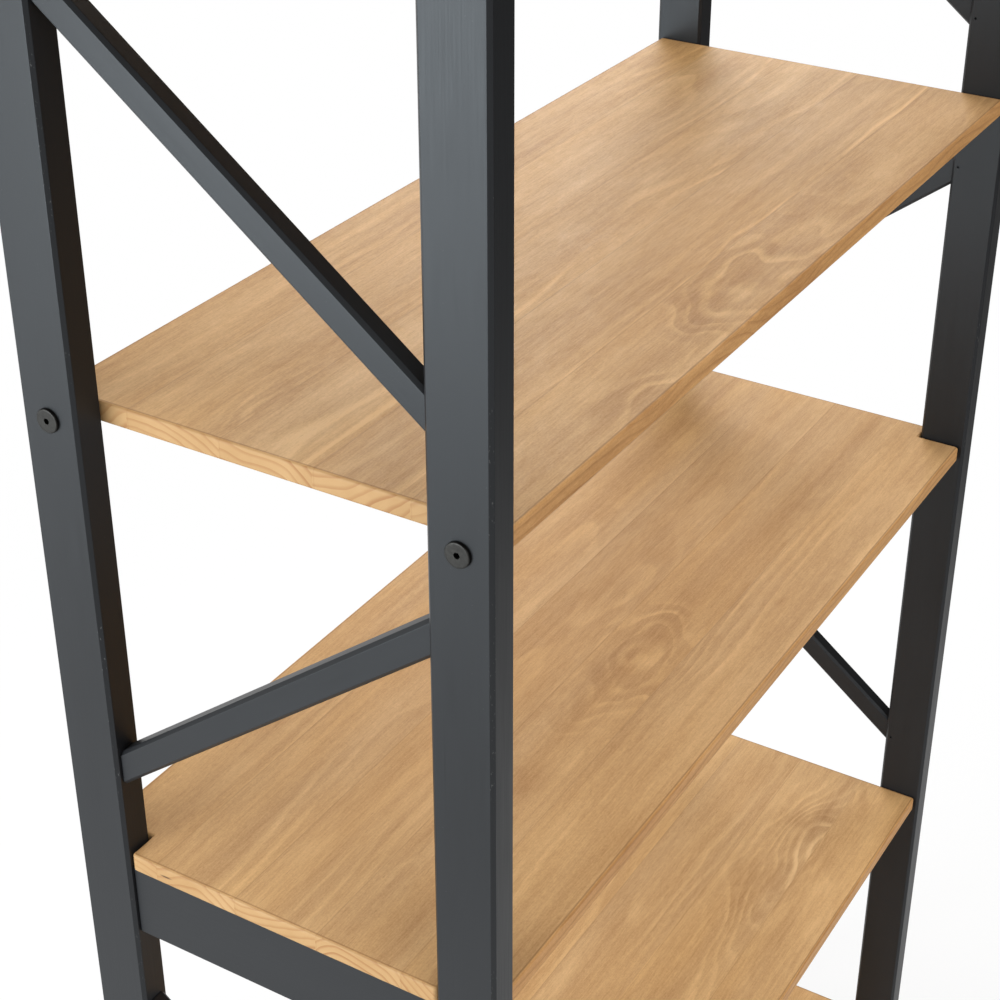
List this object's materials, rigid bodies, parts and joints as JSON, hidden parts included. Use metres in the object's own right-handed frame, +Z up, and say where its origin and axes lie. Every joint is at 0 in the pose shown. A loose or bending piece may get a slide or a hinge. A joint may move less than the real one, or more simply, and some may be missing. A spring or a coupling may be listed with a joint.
{
  "type": "bookcase",
  "caption": "Open free-standing bookcase with pine shelves between two black timber end frames with slanted braces; shelves rest on rails or are bolted to the posts.",
  "frame": {"origin": "on the floor, under the middle of the bookcase (bottom centre of its bounding box)", "axes": "+X along the shelves from the left end frame to the right one, +Y from the front to the back, +Z up"},
  "size_m": [0.9048, 0.35, 1.75],
  "materials": {
    "frame_paint": "solid timber with a satin charcoal-black paint that shows fine brush lines",
    "pine": "edge-glued pine boards with a light honey stain and a matt clear coat",
    "bolt_steel": "steel with a dark bronze plating, satin",
    "zinc_steel": "zinc-plated steel, hidden inside the joints"
  },
  "bodies": {
    "root": {"post_front_left": "frame_paint", "post_front_right": "frame_paint", "post_back_left": "frame_paint", "post_back_right": "frame_paint", "top_rail_left": "frame_paint", "top_rail_right": "frame_paint", "middle_rail_left": "frame_paint", "middle_rail_right": "frame_paint", "bottom_rail_left": "frame_paint", "bottom_rail_right": "frame_paint", "upper_brace_high_left": "frame_paint", "upper_brace_high_right": "frame_paint", "upper_brace_low_left": "frame_paint", "upper_brace_low_right": "frame_paint", "lower_brace_high_left": "frame_paint", "lower_brace_high_right": "frame_paint", "lower_brace_low_left": "frame_paint", "lower_brace_low_right": "frame_paint", "top_shelf": "pine", "upper_shelf": "pine", "middle_shelf": "pine", "lower_shelf": "pine", "bottom_shelf": "pine", "shelf_bolts_left": "bolt_steel", "shelf_bolts_right": "bolt_steel", "barrel_nuts": "zinc_steel", "rail_screws": "zinc_steel", "frame_pins_left": "zinc_steel", "frame_pins_right": "zinc_steel"}
  },
  "joints": []
}
